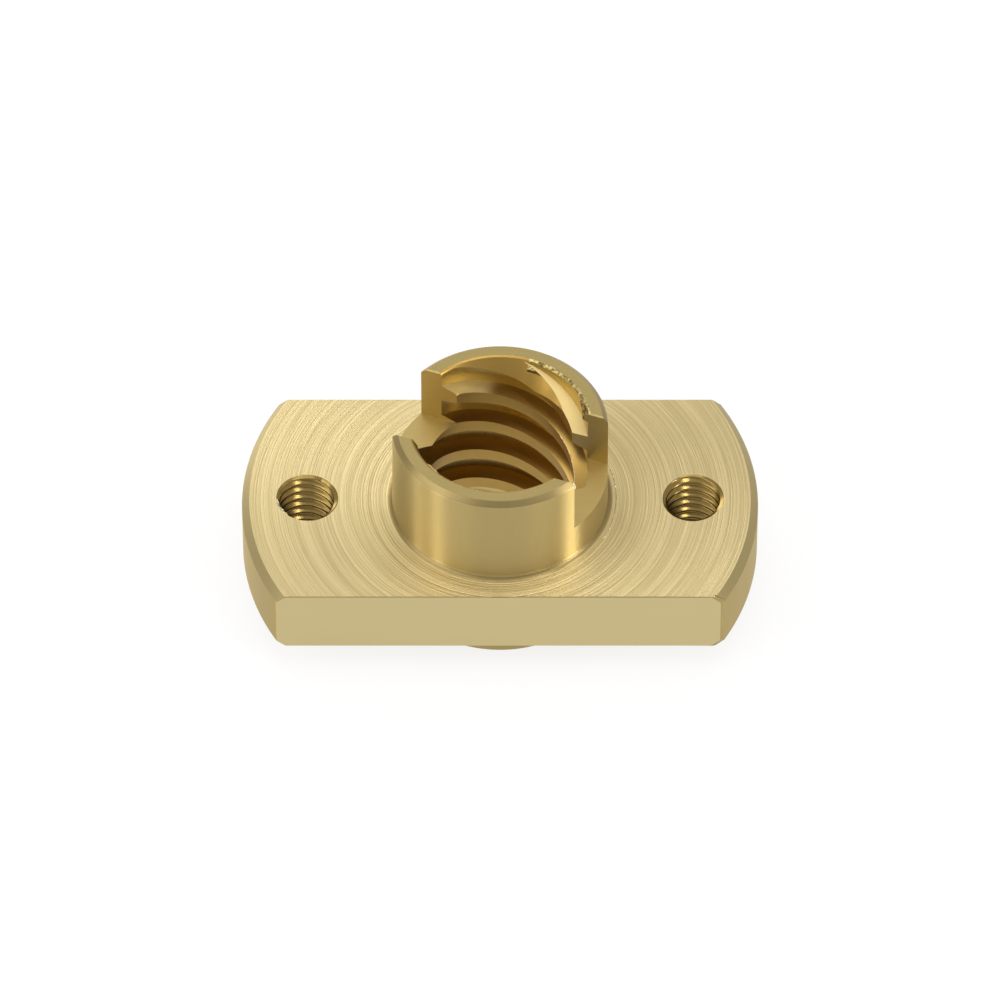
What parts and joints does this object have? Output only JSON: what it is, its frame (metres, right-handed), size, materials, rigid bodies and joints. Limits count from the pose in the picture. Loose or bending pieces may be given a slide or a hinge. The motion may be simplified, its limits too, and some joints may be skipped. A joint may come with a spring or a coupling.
{
  "type": "lead screw nut",
  "caption": "Brass nut for a trapezoidal lead screw, with a flat-sided flange, tapped fixing holes, a locating spigot and a slotted boss.",
  "frame": {"origin": "on the screw axis at the end face of the spigot, the lowest face, where the nut stands", "axes": "+Z along the screw axis from the spigot to the slotted boss, +X along the flange's length through the two fixing holes, +Y across the flats"},
  "size_m": [0.024, 0.0122, 0.0102],
  "materials": {
    "brass": "satin"
  },
  "bodies": {
    "root": {"nut": "brass"}
  },
  "joints": []
}
